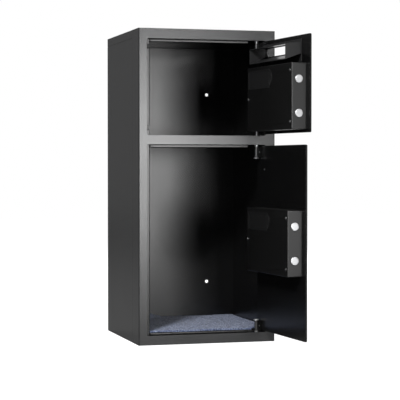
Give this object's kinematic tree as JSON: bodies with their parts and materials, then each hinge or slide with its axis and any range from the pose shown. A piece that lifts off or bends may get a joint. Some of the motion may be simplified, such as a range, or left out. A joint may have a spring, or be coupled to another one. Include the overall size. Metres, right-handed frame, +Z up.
{
  "type": "drop safe",
  "caption": "Free-standing drop safe with two hinged doors, a deposit slot and chute, sliding lock bolts, keypads and a felt floor mat.",
  "frame": {"origin": "centre of the cabinet's underside", "axes": "+Z up, -Y out of the front, +X to the right as seen from the front"},
  "size_m": [0.3725, 0.6162, 0.775],
  "materials": {
    "cabinet_paint": "fine textured satin",
    "inner_paint": "satin",
    "door_paint": "semi-gloss",
    "lock_paint": "satin",
    "bolt_steel": "polished",
    "pin_steel": "satin",
    "lid_plastic": "fine grain",
    "holder_plastic": "fine grain",
    "pad_plastic": "fine grain",
    "key_plastic": "satin",
    "window_plastic": "gloss",
    "felt": "needle felt"
  },
  "bodies": {
    "safe_body": {"front_frame": "cabinet_paint", "left_side_panel": "cabinet_paint", "right_side_panel": "cabinet_paint", "back_panel": "inner_paint", "top_panel": "cabinet_paint", "base_panel": "inner_paint", "divider_shelf": "inner_paint", "stop_bars": "inner_paint", "floor_mat": "felt", "hinge_pins": "pin_steel"},
    "upper_door": {"upper_door_plate": "door_paint", "upper_hinge_leaves": "door_paint", "upper_door_screws": "pin_steel", "upper_lock_cover": "lock_paint", "upper_battery_pack": "holder_plastic", "upper_keypad_housing": "pad_plastic", "upper_display_window": "window_plastic", "slot_chute": "inner_paint"},
    "upper_bolt_work": {"upper_bolt_carriage": "pin_steel", "upper_live_bolts": "bolt_steel"},
    "upper_turn_knob": {"upper_knob": "bolt_steel"},
    "upper_battery_lid": {"upper_battery_cover": "lid_plastic"},
    "upper_override_lock": {"upper_override_plug": "bolt_steel"},
    "upper_pad_key_1": {"upper_key_1": "key_plastic"},
    "upper_pad_key_2": {"upper_key_2": "key_plastic"},
    "upper_pad_key_3": {"upper_key_3": "key_plastic"},
    "upper_pad_key_4": {"upper_key_4": "key_plastic"},
    "upper_pad_key_5": {"upper_key_5": "key_plastic"},
    "upper_pad_key_6": {"upper_key_6": "key_plastic"},
    "upper_pad_key_7": {"upper_key_7": "key_plastic"},
    "upper_pad_key_8": {"upper_key_8": "key_plastic"},
    "upper_pad_key_9": {"upper_key_9": "key_plastic"},
    "upper_pad_key_clear": {"upper_key_clear": "key_plastic"},
    "upper_pad_key_0": {"upper_key_0": "key_plastic"},
    "upper_pad_key_enter": {"upper_key_enter": "key_plastic"},
    "lower_door": {"lower_door_plate": "door_paint", "lower_hinge_leaves": "door_paint", "lower_door_screws": "pin_steel", "lower_lock_cover": "lock_paint", "lower_battery_pack": "holder_plastic", "lower_keypad_housing": "pad_plastic", "lower_display_window": "window_plastic"},
    "lower_bolt_work": {"lower_bolt_carriage": "pin_steel", "lower_live_bolts": "bolt_steel"},
    "lower_turn_knob": {"lower_knob": "bolt_steel"},
    "lower_battery_lid": {"lower_battery_cover": "lid_plastic"},
    "lower_override_lock": {"lower_override_plug": "bolt_steel"},
    "lower_pad_key_1": {"lower_key_1": "key_plastic"},
    "lower_pad_key_2": {"lower_key_2": "key_plastic"},
    "lower_pad_key_3": {"lower_key_3": "key_plastic"},
    "lower_pad_key_4": {"lower_key_4": "key_plastic"},
    "lower_pad_key_5": {"lower_key_5": "key_plastic"},
    "lower_pad_key_6": {"lower_key_6": "key_plastic"},
    "lower_pad_key_7": {"lower_key_7": "key_plastic"},
    "lower_pad_key_8": {"lower_key_8": "key_plastic"},
    "lower_pad_key_9": {"lower_key_9": "key_plastic"},
    "lower_pad_key_clear": {"lower_key_clear": "key_plastic"},
    "lower_pad_key_0": {"lower_key_0": "key_plastic"},
    "lower_pad_key_enter": {"lower_key_enter": "key_plastic"}
  },
  "joints": [
    {"name": "upper_door_hinge", "type": "hinge", "parent": "safe_body", "child": "upper_door", "pos_m": [0.1309, -0.16, 0.6028], "axis": [0, 0, 1], "range_deg": [-95.7, 1.3]},
    {"name": "upper_bolt_slide", "type": "slide", "parent": "upper_door", "child": "upper_bolt_work", "axis": [0.0993, -0.9951, 0], "range_m": [0, 0.017]},
    {"name": "upper_knob_turn", "type": "hinge", "parent": "upper_door", "child": "upper_turn_knob", "pos_m": [0.17545, -0.30429, 0.6028], "axis": [0.9951, 0.0993, 0], "range_deg": [0, 101.3]},
    {"name": "upper_battery_lid_hinge", "type": "hinge", "parent": "upper_door", "child": "upper_battery_lid", "pos_m": [0.10706, -0.18499, 0.6496], "axis": [0, 0, 1], "range_deg": [-110, 0]},
    {"name": "upper_override_turn", "type": "hinge", "parent": "upper_door", "child": "upper_override_lock", "pos_m": [0.17545, -0.30429, 0.5668], "axis": [0.9951, 0.0993, 0], "range_deg": [0, 90]},
    {"name": "upper_key_1_press", "type": "slide", "parent": "upper_door", "child": "upper_pad_key_1", "axis": [-0.9951, -0.0993, 0], "range_m": [0, 0.0012], "stiffness_N_per_m": 400},
    {"name": "upper_key_2_press", "type": "slide", "parent": "upper_door", "child": "upper_pad_key_2", "axis": [-0.9951, -0.0993, 0], "range_m": [0, 0.0012], "stiffness_N_per_m": 400},
    {"name": "upper_key_3_press", "type": "slide", "parent": "upper_door", "child": "upper_pad_key_3", "axis": [-0.9951, -0.0993, 0], "range_m": [0, 0.0012], "stiffness_N_per_m": 400},
    {"name": "upper_key_4_press", "type": "slide", "parent": "upper_door", "child": "upper_pad_key_4", "axis": [-0.9951, -0.0993, 0], "range_m": [0, 0.0012], "stiffness_N_per_m": 400},
    {"name": "upper_key_5_press", "type": "slide", "parent": "upper_door", "child": "upper_pad_key_5", "axis": [-0.9951, -0.0993, 0], "range_m": [0, 0.0012], "stiffness_N_per_m": 400},
    {"name": "upper_key_6_press", "type": "slide", "parent": "upper_door", "child": "upper_pad_key_6", "axis": [-0.9951, -0.0993, 0], "range_m": [0, 0.0012], "stiffness_N_per_m": 400},
    {"name": "upper_key_7_press", "type": "slide", "parent": "upper_door", "child": "upper_pad_key_7", "axis": [-0.9951, -0.0993, 0], "range_m": [0, 0.0012], "stiffness_N_per_m": 400},
    {"name": "upper_key_8_press", "type": "slide", "parent": "upper_door", "child": "upper_pad_key_8", "axis": [-0.9951, -0.0993, 0], "range_m": [0, 0.0012], "stiffness_N_per_m": 400},
    {"name": "upper_key_9_press", "type": "slide", "parent": "upper_door", "child": "upper_pad_key_9", "axis": [-0.9951, -0.0993, 0], "range_m": [0, 0.0012], "stiffness_N_per_m": 400},
    {"name": "upper_key_clear_press", "type": "slide", "parent": "upper_door", "child": "upper_pad_key_clear", "axis": [-0.9951, -0.0993, 0], "range_m": [0, 0.0012], "stiffness_N_per_m": 400},
    {"name": "upper_key_0_press", "type": "slide", "parent": "upper_door", "child": "upper_pad_key_0", "axis": [-0.9951, -0.0993, 0], "range_m": [0, 0.0012], "stiffness_N_per_m": 400},
    {"name": "upper_key_enter_press", "type": "slide", "parent": "upper_door", "child": "upper_pad_key_enter", "axis": [-0.9951, -0.0993, 0], "range_m": [0, 0.0012], "stiffness_N_per_m": 400},
    {"name": "lower_door_hinge", "type": "hinge", "parent": "safe_body", "child": "lower_door", "pos_m": [0.1309, -0.16, 0.2576], "axis": [0, 0, 1], "range_deg": [-93.6, 3.4]},
    {"name": "lower_bolt_slide", "type": "slide", "parent": "lower_door", "child": "lower_bolt_work", "axis": [0.0628, -0.998, 0], "range_m": [0, 0.017]},
    {"name": "lower_knob_turn", "type": "hinge", "parent": "lower_door", "child": "lower_turn_knob", "pos_m": [0.17013, -0.30582, 0.2576], "axis": [0.998, 0.0628, 0], "range_deg": [0, 101.3]},
    {"name": "lower_battery_lid_hinge", "type": "hinge", "parent": "lower_door", "child": "lower_battery_lid", "pos_m": [0.10616, -0.1841, 0.3044], "axis": [0, 0, 1], "range_deg": [-110, 0]},
    {"name": "lower_override_turn", "type": "hinge", "parent": "lower_door", "child": "lower_override_lock", "pos_m": [0.17013, -0.30582, 0.2216], "axis": [0.998, 0.0628, 0], "range_deg": [0, 90]},
    {"name": "lower_key_1_press", "type": "slide", "parent": "lower_door", "child": "lower_pad_key_1", "axis": [-0.998, -0.0628, 0], "range_m": [0, 0.0012], "stiffness_N_per_m": 400},
    {"name": "lower_key_2_press", "type": "slide", "parent": "lower_door", "child": "lower_pad_key_2", "axis": [-0.998, -0.0628, 0], "range_m": [0, 0.0012], "stiffness_N_per_m": 400},
    {"name": "lower_key_3_press", "type": "slide", "parent": "lower_door", "child": "lower_pad_key_3", "axis": [-0.998, -0.0628, 0], "range_m": [0, 0.0012], "stiffness_N_per_m": 400},
    {"name": "lower_key_4_press", "type": "slide", "parent": "lower_door", "child": "lower_pad_key_4", "axis": [-0.998, -0.0628, 0], "range_m": [0, 0.0012], "stiffness_N_per_m": 400},
    {"name": "lower_key_5_press", "type": "slide", "parent": "lower_door", "child": "lower_pad_key_5", "axis": [-0.998, -0.0628, 0], "range_m": [0, 0.0012], "stiffness_N_per_m": 400},
    {"name": "lower_key_6_press", "type": "slide", "parent": "lower_door", "child": "lower_pad_key_6", "axis": [-0.998, -0.0628, 0], "range_m": [0, 0.0012], "stiffness_N_per_m": 400},
    {"name": "lower_key_7_press", "type": "slide", "parent": "lower_door", "child": "lower_pad_key_7", "axis": [-0.998, -0.0628, 0], "range_m": [0, 0.0012], "stiffness_N_per_m": 400},
    {"name": "lower_key_8_press", "type": "slide", "parent": "lower_door", "child": "lower_pad_key_8", "axis": [-0.998, -0.0628, 0], "range_m": [0, 0.0012], "stiffness_N_per_m": 400},
    {"name": "lower_key_9_press", "type": "slide", "parent": "lower_door", "child": "lower_pad_key_9", "axis": [-0.998, -0.0628, 0], "range_m": [0, 0.0012], "stiffness_N_per_m": 400},
    {"name": "lower_key_clear_press", "type": "slide", "parent": "lower_door", "child": "lower_pad_key_clear", "axis": [-0.998, -0.0628, 0], "range_m": [0, 0.0012], "stiffness_N_per_m": 400},
    {"name": "lower_key_0_press", "type": "slide", "parent": "lower_door", "child": "lower_pad_key_0", "axis": [-0.998, -0.0628, 0], "range_m": [0, 0.0012], "stiffness_N_per_m": 400},
    {"name": "lower_key_enter_press", "type": "slide", "parent": "lower_door", "child": "lower_pad_key_enter", "axis": [-0.998, -0.0628, 0], "range_m": [0, 0.0012], "stiffness_N_per_m": 400}
  ],
  "couplings": [
    {"joint": "upper_knob_turn", "follows": "upper_bolt_slide", "rad_per_m": 103.9},
    {"joint": "lower_knob_turn", "follows": "lower_bolt_slide", "rad_per_m": 103.9}
  ]
}
